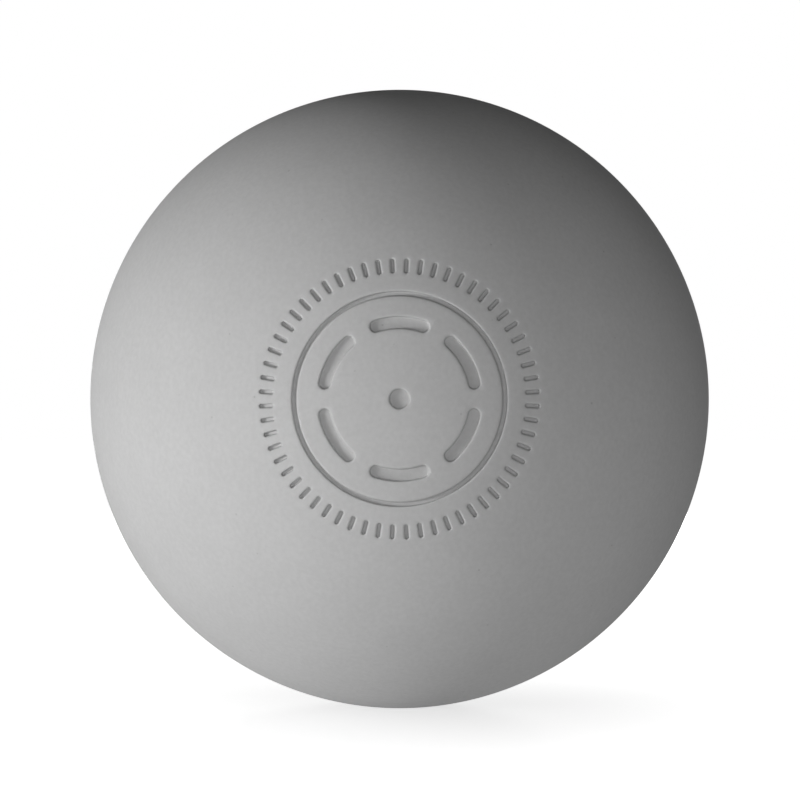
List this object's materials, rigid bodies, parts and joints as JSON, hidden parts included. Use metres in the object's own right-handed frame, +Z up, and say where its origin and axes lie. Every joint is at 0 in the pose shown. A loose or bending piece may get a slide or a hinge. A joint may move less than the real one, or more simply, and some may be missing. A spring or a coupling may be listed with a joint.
{
  "type": "lacrosse ball",
  "caption": "Smooth matt rubber ball for lacrosse: a solid core inside a bonded cover made in halves, with a shallow round mark moulded into the front.",
  "frame": {"origin": "centre of the ball", "axes": "+Z up; the marked side faces -Y; the halves of the cover meet on the plane Y = 0"},
  "size_m": [0.0634, 0.0635, 0.0634],
  "materials": {
    "cover_rubber": "matt, as moulded",
    "core_rubber": "matt"
  },
  "bodies": {
    "root": {"core": "core_rubber", "front_cover": "cover_rubber", "back_cover": "cover_rubber"}
  },
  "joints": []
}
